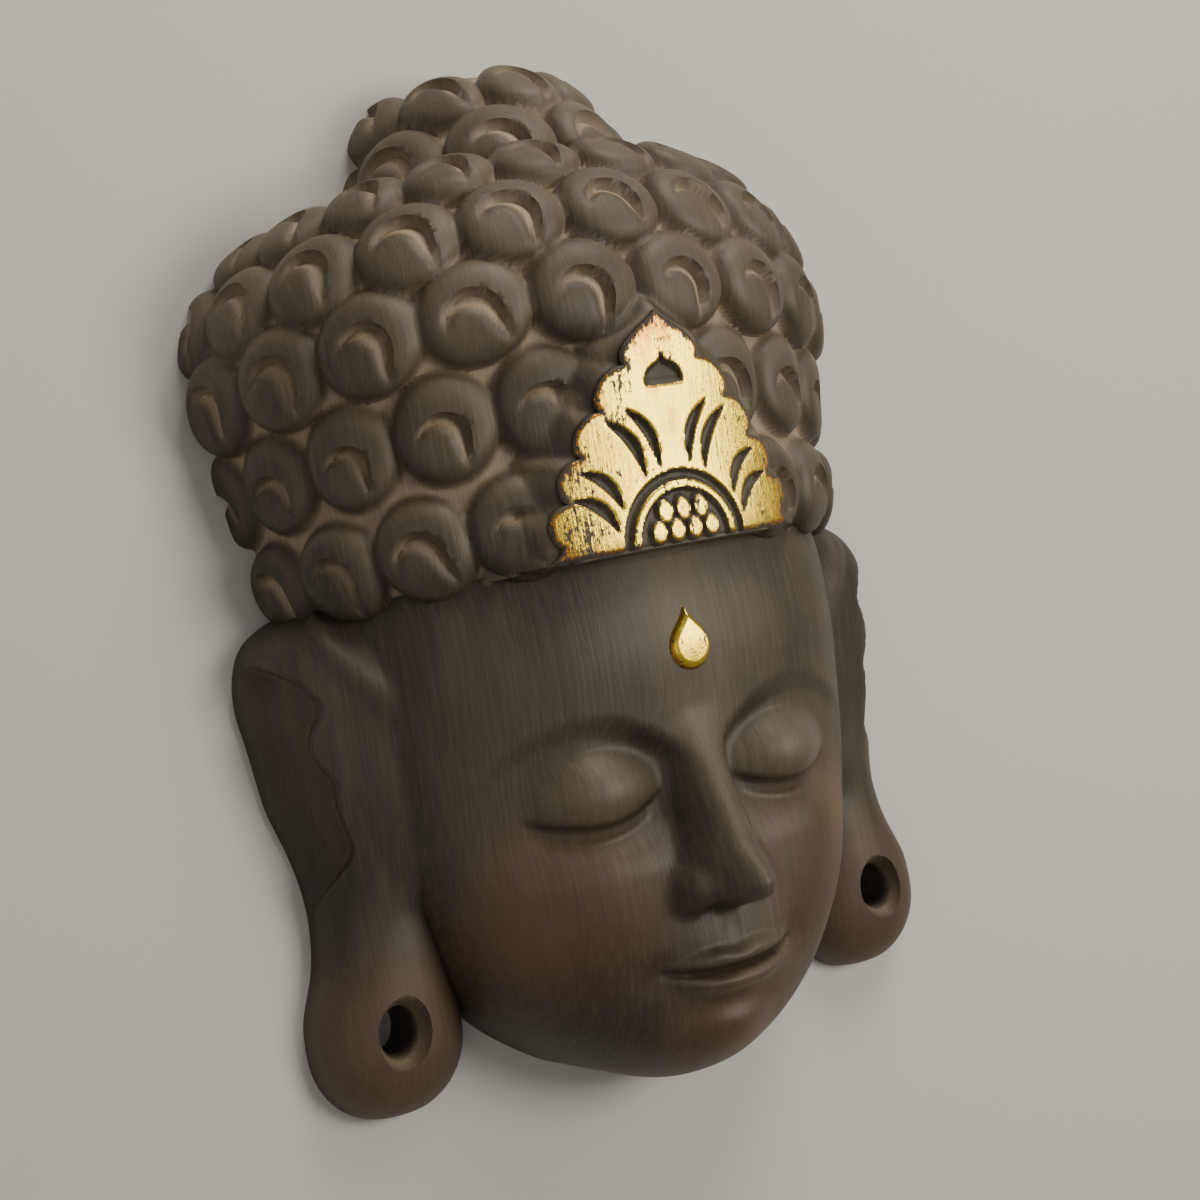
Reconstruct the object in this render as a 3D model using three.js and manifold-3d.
// A carved wooden wall mask: the front half of a Buddha head with closed eyes.
//
// It lies on its back on the plane z = 0 with the face up: +Z points out of the face,
// +Y to the top of the head and +X to the figure's left ear. Lengths are millimetres.
// The whole mask is one block of wood. Snail curls cover the hair and the topknot, a leaf
// shaped crown and a drop shaped urna stand out in low relief, the long ear lobes are
// pierced, and the back is hollowed out behind a flat rim.
//
// Each swelling body is a hull, like half a boat: a rail of stations gives its half width
// and depth at each height, and a relief is carved into its skin. Skins are meshed finely
// only where the carving needs it.

import * as THREE from 'three';
import { mergeVertices } from 'three/addons/utils/BufferGeometryUtils.js';
import Module from 'manifold-3d';

const wasm = await Module();
wasm.setup();

// Driving dimensions
const HEIGHT = 400; // chin to topknot
const HAIR_HALF_WIDTH = 131; // without the curls
const HAIR_DEPTH = 98;
const HAIRLINE = 0; // the hair's lower edge in front, from the middle of the mask
const HAIR_SAG = 14; // how much lower the hair is at the back plane
const FACE_HALF_WIDTH = 110; // at the temples
const FACE_DEPTH = 90; // back plane to forehead
const CURL_RADIUS = 20.5;
const CURL_HEIGHT = 8;
const CURL_STEP = 18; // degrees from curl to curl in a row
const VALLEY = 1.5; // height of the corners where three curls meet
const WALL = 17; // thickness of the wood round the hollow

const CHIN = -HEIGHT / 2;
const CROWN_HEIGHT = 83; // above the hairline
const CROWN_HALF_WIDTH = 48.5; // between the notches of its edge
const GROOVE_DEPTH = 2.2; // of the crown's carving
const EAR_TOP = -12;
const EAR_HOLLOW = 7;
const LOBE = new THREE.Vector2(112, -155); // middle of the pierced hole
const FAR = 400; // beyond the mask in every direction

// Plain shaping functions

const clamp01 = (t) => Math.min(1, Math.max(0, t));

// 0 below a, 1 above b and a smooth rise between them; a may be the larger.
const ramp = (a, b, t) => {
  const s = clamp01((t - a) / (b - a));
  return s * s * (3 - 2 * s);
};

// A round swelling of height h with soft edges, over an ellipse of radii rx and ry.
const bump = (x, y, cx, cy, rx, ry, h) => {
  const r2 = ((x - cx) / rx) ** 2 + ((y - cy) / ry) ** 2;
  return r2 < 1 ? h * (1 - r2) ** 2 : 0;
};

const degrees = THREE.MathUtils.degToRad;

// The larger of two heights, with the corner between them rounded over a height of soft.
const blend = (a, b, soft) => Math.max(a, b) + (soft / 4) * clamp01(1 - Math.abs(a - b) / soft) ** 2;

// Hulls and skins

// A body lying on z = 0: station after station holds [half width, height, depth], and a
// curve runs through them. A full below 1 makes the section squarer than an ellipse, and
// sag lets its sides hang lower than its front.
class Hull {
  static FLANK = degrees(97); // the section runs on a little below the back plane

  constructor(stations, { centre = () => 0, full = 1, sag = () => 0 } = {}) {
    this.curve = new THREE.CatmullRomCurve3(
      stations.map(([w, y, d]) => new THREE.Vector3(w, y, d)),
    );
    this.centre = centre;
    this.full = full;
    this.sag = sag;
  }

  // u runs from -1 to 1 across the front, v from 0 to 1 along the rail.
  point(u, v) {
    const rail = this.curve.getPointAt(v);
    const turn = u * Hull.FLANK;
    const side = Math.sign(turn) * Math.abs(Math.sin(turn)) ** this.full;
    const front = Math.sign(Math.cos(turn)) * Math.abs(Math.cos(turn)) ** this.full;
    const sag = this.sag(rail.y) * ramp(0, 40, rail.x);
    return new THREE.Vector3(
      this.centre(rail.y) + rail.x * side,
      rail.y - sag * (1 - front * front),
      rail.z * front,
    );
  }

  normal(u, v) {
    const d = 1e-3;
    const inside = THREE.MathUtils.clamp(v, 2 * d, 1 - 2 * d);
    const along = this.point(u, inside + d).sub(this.point(u, inside - d));
    const across = this.point(u + d, inside).sub(this.point(u - d, inside));
    return across.cross(along).normalize();
  }

  // How far round and along its skin the hull reaches, at its widest.
  get size() {
    const width = Math.max(
      ...[0.3, 0.4, 0.5, 0.6, 0.7].map((v) => {
        const row = [...Array(33).keys()].map((k) => this.point(k / 16 - 1, v));
        return row.slice(1).reduce((sum, p, k) => sum + p.distanceTo(row[k]), 0);
      }),
    );
    return { width, height: this.curve.getLength() };
  }

  // The place on the rail that is at height y.
  railAt(y) {
    let [low, high] = [0, 1];
    for (let i = 0; i < 40; i++) {
      const middle = (low + high) / 2;
      if (this.curve.getPointAt(middle).y < y) low = middle;
      else high = middle;
    }
    return low;
  }
}

// Delaunay triangles of points in the plane, grown one point at a time.
class Delaunay {
  constructor() {
    const far = 1e5;
    this.points = [[-far, -far], [far, -far], [0, far]];
    this.triangles = [this.triangle(0, 1, 2)];
  }

  // Three corners, anticlockwise, with the circle through them.
  triangle(a, b, c) {
    const [[ax, ay], [bx, by], [cx, cy]] = [this.points[a], this.points[b], this.points[c]];
    const [ux, uy, vx, vy] = [bx - ax, by - ay, cx - ax, cy - ay];
    const [area, uu, vv] = [2 * (ux * vy - uy * vx), ux * ux + uy * uy, vx * vx + vy * vy];
    const [x, y] = [(vy * uu - uy * vv) / area, (ux * vv - vx * uu) / area];
    return { corners: [a, b, c], x: ax + x, y: ay + y, r2: (x * x + y * y) * (1 - 1e-9) };
  }

  // Adds a point unless one is there already: the triangles whose circles hold it make way
  // for a fan round it.
  add(x, y) {
    if (this.points.some(([px, py]) => Math.hypot(px - x, py - y) < 0.4)) return;
    const open = new Map();
    this.triangles = this.triangles.filter((t) => {
      if ((x - t.x) ** 2 + (y - t.y) ** 2 >= t.r2) return true;
      t.corners.forEach((from, k) => {
        const to = t.corners[(k + 1) % 3];
        if (!open.delete(`${to} ${from}`)) open.set(`${from} ${to}`, [from, to]);
      });
      return false;
    });
    const added = this.points.push([x, y]) - 1;
    for (const [from, to] of open.values()) this.triangles.push(this.triangle(from, to, added));
  }

  get inner() {
    return this.triangles.map((t) => t.corners).filter((corners) => Math.min(...corners) > 2);
  }
}

// Meshes the surface place(u, v), which measures width by height along its skin, and
// refines it where it leaves its triangles by more than tolerance. The open edges lie
// below the back plane.
function skin(place, { width, height, tolerance, grid = 2.5 }) {
  const net = new Delaunay();
  const at = (x, y) => place(x / (width / 2), y / height);
  const steps = Math.ceil(height / 14);
  for (let k = 0; k <= steps; k++)
    for (const side of [-0.5, -0.25, 0.25, 0.5])
      if (Math.abs(side) === 0.5 || k % 3 === 0) net.add(side * width, (k / steps) * height);

  const [columns, rows] = [Math.ceil(width / grid), Math.ceil(height / grid)];
  const samples = [];
  for (let j = 0; j <= rows; j++)
    for (let i = 0; i <= columns; i++) {
      const [x, y] = [(i / columns - 0.5) * width, (j / rows) * height];
      samples.push({ x, y, point: at(x, y) });
    }
  for (let pass = 0; pass < 12; pass++) {
    const worst = net.inner.map((corners) =>
      farthestSample(net, corners, at, samples, columns, rows, width, height),
    );
    for (const { error, x, y } of worst) if (error > tolerance) net.add(x, y);
  }

  const edge = (side) =>
    net.points
      .filter(([x], k) => k > 2 && Math.abs(x - (side * width) / 2) < 1e-6)
      .sort((p, q) => p[1] - q[1])
      .map((p) => at(...p));
  const corners = net.inner.flat().map((k) => at(...net.points[k]));
  return solid([...corners, ...ladder(edge(-1), edge(1))]);
}

// Triangles between the two open edges of a skin, both given from bottom to top.
function ladder(left, right) {
  const corners = [];
  for (let [l, r] = [0, 0]; l + 1 < left.length || r + 1 < right.length; ) {
    const climbLeft = r + 1 >= right.length || (l + 1 < left.length && left[l + 1].y <= right[r + 1].y);
    if (climbLeft) corners.push(left[l], left[++l], right[r]);
    else corners.push(right[r], left[l], right[++r]);
  }
  return corners;
}

// The sample inside one triangle of the net that is farthest from its plane.
function farthestSample(net, corners, at, samples, columns, rows, width, height) {
  const [a, b, c] = corners.map((k) => net.points[k]);
  const plane = new THREE.Plane().setFromCoplanarPoints(at(...a), at(...b), at(...c));
  const cross = (p, q, s) => (q[0] - p[0]) * (s.y - p[1]) - (q[1] - p[1]) * (s.x - p[0]);
  const range = (axis, origin, size, cells) => [
    Math.max(1, Math.floor(((Math.min(a[axis], b[axis], c[axis]) - origin) / size) * cells)),
    Math.min(cells - 1, Math.ceil(((Math.max(a[axis], b[axis], c[axis]) - origin) / size) * cells)),
  ];
  const [[i0, i1], [j0, j1]] = [range(0, -width / 2, width, columns), range(1, 0, height, rows)];
  let worst = { error: 0 };
  for (let j = j0; j <= j1; j++)
    for (let i = i0; i <= i1; i++) {
      const s = samples[j * (columns + 1) + i];
      if (cross(a, b, s) < 0 || cross(b, c, s) < 0 || cross(c, a, s) < 0) continue;
      const error = Math.abs(plane.distanceToPoint(s.point));
      if (error > worst.error) worst = { error, x: s.x, y: s.y };
    }
  return worst;
}

// Solids

// A closed triangle soup as a solid. Triangles that have shrunk to a line are dropped.
function solid(corners) {
  const soup = new THREE.BufferGeometry().setFromPoints(corners);
  const merged = mergeVertices(soup, 1e-3);
  const index = merged.index.array;
  const kept = [];
  for (let t = 0; t < index.length; t += 3) {
    const [a, b, c] = index.slice(t, t + 3);
    if (a !== b && b !== c && c !== a) kept.push(a, b, c);
  }
  return new wasm.Manifold(
    new wasm.Mesh({
      numProp: 3,
      vertProperties: merged.attributes.position.array,
      triVerts: new Uint32Array(kept),
    }),
  );
}

function solidOf(geometry) {
  const soup = geometry.index ? geometry.toNonIndexed() : geometry;
  const p = soup.attributes.position;
  return solid([...Array(p.count).keys()].map((i) => new THREE.Vector3().fromBufferAttribute(p, i)));
}

// An outline in the front view, cut straight through from the back plane to the front.
function prism(outline, from = -FAR, to = FAR) {
  const geometry = new THREE.ExtrudeGeometry(outline, {
    depth: to - from,
    bevelEnabled: false,
    curveSegments: 5,
  });
  return solidOf(geometry.translate(0, 0, from));
}

// Hair

const hair = new Hull(
  [
    [0, HAIRLINE - 4, 0],
    [60, HAIRLINE - 3.5, 48],
    [107, HAIRLINE - 3, 83],
    [113, HAIRLINE + 1, 87],
    [118, HAIRLINE + 9, 90],
    [120.5, HAIRLINE + 20, 91],
    [123, 58, 91],
    [HAIR_HALF_WIDTH, 92, HAIR_DEPTH],
    [128, 118, 95],
    [116, 139, 85],
    [92, 154, 66],
    [52, 163, 40],
    [0, 166, 0],
  ],
  { sag: (y) => HAIR_SAG * ramp(-15, 80, y) },
);

const topknot = new Hull([
  [0, 118, 0],
  [46, 124, 56],
  [54, 142, 68],
  [52, 158, 66],
  [46, 172, 58],
  [37, 184, 46],
  [25, 193, 31],
  [13, 199, 16],
  [0, 200, 0],
]);

// Heights of the rows of curls, staggered by half a step.
const HAIR_ROWS = [16, 59, 95, 125, 147];
const TOPKNOT_ROWS = [158, 183];
const TOPKNOT_STEP = 42;
const behindCrown = (row, angle) => row === 1 && Math.abs(angle) < CURL_STEP;

// One curl is a flattened dome with a hooked cut that runs round a tongue in its lower
// half. The cut falls steeply from the outside and rises slowly to the tongue. Lengths
// are in curl radii here, a to the right of the curl's middle and b above it.
const HOOK = { a: -0.08, b: -0.17, radius: 0.43, from: -90, to: 180, outer: 0.1, depth: 0.6 };
const SPOKE = 30; // degrees between the spokes of a curl's mesh
const domeHeight = (a, b) => CURL_HEIGHT * (1 - Math.min(1, Math.hypot(a, b)) ** 6) ** 0.6;

// Points of one curl as [a, b, height], ring by ring from the tongue out to the shoulder.
function curlRings() {
  const turns = [...Array(360 / SPOKE).keys()].map((k) => HOOK.from + k * SPOKE);
  const swell = (turn) => {
    const along = (turn - HOOK.from) / (HOOK.to - HOOK.from);
    return along > 1 ? 0 : Math.sin(Math.PI * (0.2 + 0.8 * along)) ** 0.7;
  };
  const around = (r, drop) =>
    turns.map((turn) => {
      const a = HOOK.a + r * Math.cos(degrees(turn));
      const b = HOOK.b + r * Math.sin(degrees(turn));
      return [a, b, domeHeight(a, b) - drop * swell(turn)];
    });
  return [
    around(0, 0),
    around(HOOK.radius, HOOK.depth * CURL_HEIGHT),
    around(HOOK.radius + HOOK.outer, 0),
    turns.map(degrees).map((turn) => [0.86 * Math.cos(turn), 0.86 * Math.sin(turn), domeHeight(0.86, 0)]),
  ];
}

// A hull covered with curls, each in a six sided cell whose border is a valley. A row of
// bare cells comes before the first row of curls and after the last. step is the angle in
// degrees from cell to cell in a row, and covered names cells that something else hides.
function curled(hull, rows, step, covered = () => false) {
  const rails = rows.map((y) => hull.railAt(y));
  rails.unshift(2 * rails[0] - rails[1]);
  rails.push(2 * rails.at(-1) - rails.at(-2));
  const isBare = (row) => row <= 0 || row >= rails.length - 1;
  const spot = (angle, v, lift = 0) => {
    const u = degrees(angle) / Hull.FLANK;
    const p = hull.point(u, clamp01(v));
    return lift ? p.addScaledVector(hull.normal(u, v), lift) : p;
  };
  const corners = [];
  const edges = { left: [spot(0, 0)], right: [spot(0, 0)] };
  rails.forEach((v, row) => {
    const [under, over] = [rails[row - 1] ?? v - 3, rails[row + 1] ?? v + 3];
    const last = Math.ceil((Hull.FLANK * 180) / Math.PI / step - (row % 2) / 2);
    for (let k = -last - (row % 2); k <= last; k++) {
      const middle = (k + (row % 2) / 2) * step;
      const border = [
        [0, under, 2 / 3],
        [0.5, under, 1 / 3],
        [0.5, over, 1 / 3],
        [0, over, 2 / 3],
        [-0.5, over, 1 / 3],
        [-0.5, under, 1 / 3],
      ].map(([side, next, part]) => {
        const valley = isBare(row) || isBare(next === under ? row - 1 : row + 1) ? 0 : VALLEY;
        return spot(middle + side * step, v + (next - v) * part, valley);
      });
      if (k === last) edges.right.push(border[1], border[2]);
      if (k === -last - (row % 2)) edges.left.push(border[5], border[4]);
      if (isBare(row) || covered(row, middle)) {
        border.forEach((p, i) => corners.push(spot(middle, v), p, border[(i + 1) % 6]));
        continue;
      }

      // Curl radii to steps of angle and rail, from the size of the cell.
      const wide = spot(middle - step / 2, v).distanceTo(spot(middle + step / 2, v)) / 2;
      const half = Math.min(wide, CURL_RADIUS);
      const tall = Math.min(Math.min(over - v, v - under) * hull.size.height * 0.58, CURL_RADIUS);
      const rings = curlRings().map((ring) =>
        ring.map(([a, b, height]) =>
          spot(middle + (a * half * step) / (2 * wide), v + (b * tall) / hull.size.height, height),
        ),
      );
      for (let i = 0; i + 1 < rings.length; i++)
        rings[i].forEach((p, n) => {
          const [outer, next] = [rings[i + 1], (n + 1) % rings[i].length];
          corners.push(p, outer[n], outer[next], p, outer[next], rings[i][next]);
        });
      rings.at(-1).forEach((p, n, shoulder) => {
        const next = shoulder[(n + 1) % shoulder.length];
        const [from, to] = [border[Math.ceil(n / 2) % 6], border[Math.ceil((n + 1) / 2) % 6]];
        corners.push(p, from, next);
        if (from !== to) corners.push(next, from, to);
      });
    }
  });
  for (const side of Object.values(edges)) side.push(spot(0, 1));
  corners.push(...ladder(edges.left, edges.right));
  return solid(corners);
}

// Face, in three equal parts: hairline to brow, brow to nose, nose to chin

const THIRD = (HAIRLINE - CHIN) / 3;
const BROW = HAIRLINE - THIRD;
const NOSE_BASE = BROW - THIRD;
const EYE = { x: 42, y: BROW - 17, rx: 27, ry: 17, height: 8.5 };
const LIP_LINE = NOSE_BASE - THIRD / 3;
const MOUTH_HALF_WIDTH = 28;
const NOSE_HEIGHT = 26;

const face = new Hull(
  [
    [0, CHIN, 0],
    [28, CHIN + 1, 34],
    [50, CHIN + 10, 56],
    [70, CHIN + 28, 70],
    [86, CHIN + 54, 77],
    [98, CHIN + 84, 81],
    [105, CHIN + 112, 83],
    [108, BROW, 85],
    [FACE_HALF_WIDTH, BROW + 34, FACE_DEPTH],
    [109, HAIRLINE, 86],
    [90, 30, 70],
    [60, 60, 50],
    [0, 70, 0],
  ],
  { sag: (y) => -8 * ramp(CHIN + 60, CHIN + 10, y), full: 0.88 },
);

// The arch of the brow, from the bridge of the nose to the temple.
const browLine = (x) => BROW + 13 - 17 * ((x - 48) / 39) ** 2;

function eyeRelief(x, y) {
  const below = browLine(x) - y;
  const along = ramp(4, 16, x) * ramp(94, 66, x);
  const socket = (3.2 + 3.8 * ramp(50, 14, x)) * along * ramp(0, 9, below) * ramp(EYE.y - 32, EYE.y - 8, y);
  const r2 = ((x - EYE.x) / EYE.rx) ** 2 + ((y - EYE.y) / EYE.ry) ** 2;
  const lid = r2 < 1 ? EYE.height * (1 - r2) ** 0.9 : 0;
  const across = (x - EYE.x) / EYE.rx;
  const slit = EYE.y - 11 + 7.5 * across ** 2;
  const open = ramp(1, 0.85, Math.abs(across));
  const groove = 2 * open * clamp01(1 - Math.abs(y - slit) / 2.2);
  const under = 1.6 * open * ramp(slit + 1, slit - 3, y) * ramp(slit - 14, slit - 4, y);
  return lid - socket - groove - under;
}

function noseRelief(x, y) {
  const t = clamp01((BROW + 8 - y) / (BROW + 8 - NOSE_BASE - 9));
  const flank = clamp01(x / (11 + 8 * t));
  const bridge = NOSE_HEIGHT * t ** 1.25 * (1 - flank ** 2.2) ** 1.5;
  const tip = bump(x, y, 0, NOSE_BASE + 11, 13, 15, 4);
  const wing = 13 * (1 - ((x - 12.5) / 10.5) ** 2 - ((y - NOSE_BASE - 9) / 12) ** 2);
  const lower = NOSE_BASE - 0.5 + 3 * ramp(2, 8, x) - 2.5 * ramp(9, 15, x);
  return blend(bridge + tip, wing, 7) * ramp(lower - 2, lower + 5, y);
}

function mouthRelief(x, y) {
  const across = clamp01(x / MOUTH_HALF_WIDTH);
  const line = LIP_LINE + 3.5 * across ** 2.5;
  const taper = Math.sqrt(1 - across ** 2);
  const upperEdge = line + 8.5 * taper - 2.2 * ramp(5, 0, x);
  const lowerEdge = line - 10.5 * taper;
  const muzzle = bump(x, y, 0, LIP_LINE + 1, 44, 30, 4.5);
  const upper = 4 * taper * ramp(upperEdge + 1.5, upperEdge - 2.5, y) * ramp(line - 0.5, line + 3, y);
  const lower = 5 * taper * ramp(lowerEdge - 2.5, lowerEdge + 4, y) * ramp(line + 0.5, line - 3.5, y);
  const groove = 2.2 * ramp(1.15, 0.9, x / MOUTH_HALF_WIDTH) * clamp01(1 - Math.abs(y - line) / 2.4);
  const corner = bump(x, y, MOUTH_HALF_WIDTH + 3, LIP_LINE + 3, 9, 9, 2.4);
  const philtrum = bump(x, y, 0, LIP_LINE + 15, 4.5, 9, 1.4);
  return muzzle + upper + lower - groove - corner - philtrum;
}

function faceRelief(x, y) {
  const chin = bump(x, y, 0, CHIN + 17, 26, 20, 6);
  const fold = bump(x, y, 0, CHIN + 31, 26, 8, 2.4);
  const cheek = bump(x, y, 56, NOSE_BASE + 8, 38, 40, 3.5);
  return chin - fold + cheek + eyeRelief(x, y) + noseRelief(x, y) + mouthRelief(x, y);
}

const faceSkin = (u, v) => {
  const p = face.point(u, v);
  const front = ramp(10, 40, p.z);
  p.z += front * faceRelief(Math.abs(p.x), p.y);
  return p;
};

// Low relief panels: an outline in the front view, standing out to a smooth outer surface

const crownFront = new Hull([
  [0, -60, 0],
  [100, -40, 78],
  [128, -14, 98],
  [134, HAIRLINE, 103],
  [136, 30, 104.5],
  [142, 70, 109],
  [144, 100, 111],
  [110, 130, 88],
  [0, 140, 0],
]);
const crownFloor = new Hull(
  crownFront.curve.points.map(({ x, y, z }) => [x && x - GROOVE_DEPTH, y, z && z - GROOVE_DEPTH]),
);
const plain = (hull, tolerance) => skin((u, v) => hull.point(u, v), { ...hull.size, tolerance });

// The crown's outline in the front view: an arch that comes to a point, its edge notched
// into round lobes that hook upward, with a small sharp corner at the foot.
const LOBES = 4;
const crownEdge = (y) => CROWN_HALF_WIDTH * (1 - (y / CROWN_HEIGHT) ** 1.6);
function crownOutline() {
  const notch = (k) => new THREE.Vector2(crownEdge(5 + 15 * k), 5 + 15 * k);
  const half = new THREE.Path().moveTo(CROWN_HALF_WIDTH + 6, 0);
  half.quadraticCurveTo(CROWN_HALF_WIDTH + 1, 1, notch(0).x, notch(0).y);
  for (let k = 0; k < LOBES; k++) {
    const [from, to] = [notch(k), notch(k + 1)];
    half.bezierCurveTo(from.x + 4.5, from.y + 2.5, to.x + 11, to.y - 0.5, to.x, to.y);
  }
  const top = notch(LOBES);
  half.bezierCurveTo(top.x + 5, top.y + 7, 4, CROWN_HEIGHT - 5, 0, CROWN_HEIGHT);
  const right = half.getPoints(4).map((p) => new THREE.Vector2(p.x, HAIRLINE + p.y));
  const left = right.slice(0, -1).reverse().map((p) => new THREE.Vector2(-p.x, p.y));
  return new THREE.Shape([...right, ...left]);
}

// The grooves, as outlines in the front view: two rings round a half rosette of seeds, four
// gouge cuts fanning out on each side, and a pointed arch near the top.
const ROSETTE = [26, 22.3, 19.3, 16.5]; // radii where wood and gold meet
const PETALS = [76, 62, 30, 13]; // degrees round the rosette where the cuts start
const PETAL_LENGTH = 22;

function crownGrooves() {
  const band = (outer, inner) => {
    const ring = new THREE.Shape().absarc(0, HAIRLINE, outer, 0, Math.PI);
    return ring.lineTo(-inner, HAIRLINE).absarc(0, HAIRLINE, inner, Math.PI, 0, true);
  };
  const cuts = [band(ROSETTE[0], ROSETTE[1]), band(ROSETTE[2], 0.01)];
  for (const side of [-1, 1])
    for (const turn of PETALS) {
      const lean = degrees(38 + turn / 3);
      const from = new THREE.Vector2(Math.cos(degrees(turn)), Math.sin(degrees(turn))).multiplyScalar(27.5);
      const length = PETAL_LENGTH + 4 * ramp(40, 60, turn);
      const along = new THREE.Vector2(Math.cos(lean), Math.sin(lean)).multiplyScalar(length);
      const [to, middle] = [from.clone().add(along), from.clone().addScaledVector(along, 0.5)];
      const bow = new THREE.Vector2(-along.y, along.x).normalize();
      const [far, near] = [12, 3.5].map((h) => middle.clone().addScaledVector(bow, h));
      const petal = new THREE.Shape().moveTo(side * from.x, HAIRLINE + from.y);
      petal.quadraticCurveTo(side * far.x, HAIRLINE + far.y, side * to.x, HAIRLINE + to.y);
      petal.quadraticCurveTo(side * near.x, HAIRLINE + near.y, side * from.x, HAIRLINE + from.y);
      cuts.push(petal);
    }
  const arch = new THREE.Shape().moveTo(-8, HAIRLINE + 56).lineTo(8, HAIRLINE + 56);
  arch.bezierCurveTo(9.5, HAIRLINE + 61, 5, HAIRLINE + 63.5, 2, HAIRLINE + 64.5);
  arch.lineTo(0, HAIRLINE + 69).lineTo(-2, HAIRLINE + 64.5);
  arch.bezierCurveTo(-5, HAIRLINE + 63.5, -9.5, HAIRLINE + 61, -8, HAIRLINE + 56);
  return [...cuts, arch];
}

// The seeds left standing in the rosette, in two staggered rows.
function rosetteSeeds() {
  const seed = (x, y) => new THREE.Shape().absellipse(x, HAIRLINE + y, 2.9, 4.1, 0, 2 * Math.PI);
  const lower = [-1.5, -0.5, 0.5, 1.5].map((k) => seed(7.6 * k, 4.4));
  const upper = [-1, 0, 1].map((k) => seed(7.6 * k, 11.8));
  return [...lower, ...upper];
}

function crown() {
  const [front, floor] = [plain(crownFront, 0.6), plain(crownFloor, 0.6)];
  let cuts = prism(crownGrooves()[0], 60);
  for (const outline of crownGrooves().slice(1)) cuts = cuts.add(prism(outline, 60));
  for (const outline of rosetteSeeds()) cuts = cuts.subtract(prism(outline, 50));
  return prism(crownOutline()).intersect(front).subtract(cuts.subtract(floor));
}

// The drop between the brows.
const URNA = { y: HAIRLINE - 36, radius: 9, point: 15, rise: 3 };
function urna() {
  const { y, radius, point, rise } = URNA;
  const outline = new THREE.Shape().moveTo(0, y + point);
  outline.bezierCurveTo(-2, y + 8, -radius, y + 6, -radius, y - 1);
  outline.absarc(0, y - 1, radius, Math.PI, 2 * Math.PI);
  outline.bezierCurveTo(radius, y + 6, 2, y + 8, 0, y + point);
  const slab = face.curve.points.map(({ x, y: height, z }) => [x && x + rise, height, z && z + rise]);
  return prism(outline, 60).intersect(plain(new Hull(slab, { full: 0.88 }), 0.5));
}

// Ears

const earHull = (side) =>
  new Hull(
    [
      [0, -187, 0],
      [14, -184, 13],
      [24, -176, 21],
      [29.5, -164, 26],
      [29.5, -146, 28],
      [26, -128, 28],
      [25.5, -113, 28],
      [25.5, -100, 30],
      [26, -80, 33],
      [28, -62, 35],
      [30, -42, 37],
      [31.5, -28, 39],
      [30, -16, 37.5],
      [25, -6, 32],
      [14, 1, 22],
      [0, 4, 0],
    ],
    { centre: (y) => side * (LOBE.x - 2 - bump(0, y, 0, -106, 1, 44, 6)), full: 0.9 },
  );

// The side of the ear is hollowed behind a sharp edge that the cheek runs out to. From the
// rim at the top down, the edge is arched, notched and round again, and it closes in toward
// the back above the lobe.
const earEdge = (y) =>
  20 + 72 * (1 - Math.sqrt(1 - clamp01((y - EAR_TOP + 26) / 26) ** 2)) + bump(0, y, 0, -47, 1, 15, 15) +
  4 * ramp(-56, -72, y) + 54 * ramp(-84, -107, y);

function earSkin(side) {
  const hull = earHull(side);
  return (u, v) => {
    const p = hull.point(u, v);
    const turn = side * THREE.MathUtils.radToDeg(u * Hull.FLANK);
    const past = clamp01((turn - earEdge(p.y)) / 12);
    const within = ramp(EAR_TOP + 1, EAR_TOP - 1, p.y) * ramp(-110, -103, p.y);
    const hollow = EAR_HOLLOW * past * (2 - past) * ramp(96, 60, turn) * within;
    const cheek = 8 * ramp(12, -25, turn) * ramp(-114, -92, p.y);
    return p.addScaledVector(hull.normal(u, v), cheek - hollow);
  };
}

// The hole narrows toward the back.
function lobeHole(side) {
  const [front, back] = [11.5 / 7.5, 1];
  const hole = new THREE.CylinderGeometry(front, back, 40, 16).rotateX(Math.PI / 2);
  hole.scale(7.5, 9.7, 1).rotateZ(side * 0.2);
  return solidOf(hole.translate(side * LOBE.x, LOBE.y, 15));
}

// Back

const hollow = new Hull([
  [0, CHIN + WALL, 0],
  [36, CHIN + WALL + 6, 28],
  [60, CHIN + 48, 48],
  [74, CHIN + 76, 58],
  [86, BROW - 20, 64],
  [91, BROW + 30, 68],
  [100, 10, 71],
  [107, 50, 74],
  [109, 84, 76],
  [100, 107, 66],
  [78, 123, 48],
  [44, 132, 26],
  [0, 135, 0],
]);

// Assembly

function mask() {
  let body = curled(hair, HAIR_ROWS, CURL_STEP, behindCrown).add(curled(topknot, TOPKNOT_ROWS, TOPKNOT_STEP));
  body = body.add(skin(faceSkin, { ...face.size, tolerance: 0.9 })).add(crown()).add(urna());
  for (const side of [-1, 1])
    body = body.add(skin(earSkin(side), { ...earHull(side).size, tolerance: 1 })).subtract(lobeHole(side));
  const below = new THREE.BoxGeometry(2 * FAR, 2 * FAR, FAR).translate(0, 0, -FAR / 2);
  return body.subtract(plain(hollow, 2.5)).subtract(solidOf(below));
}

function geometryOf(body) {
  const mesh = body.getMesh();
  const geometry = new THREE.BufferGeometry();
  geometry.setAttribute('position', new THREE.BufferAttribute(mesh.vertProperties, 3));
  geometry.setIndex(new THREE.BufferAttribute(mesh.triVerts, 1));
  geometry.computeVertexNormals();
  return geometry;
}

const stainedWood = new THREE.MeshStandardMaterial({ color: 0x3a2e26, roughness: 0.55, metalness: 0 });

const model = new THREE.Group();
const carving = new THREE.Mesh(geometryOf(mask()), stainedWood);
carving.name = 'carved_mask';
model.add(carving);

export default model;
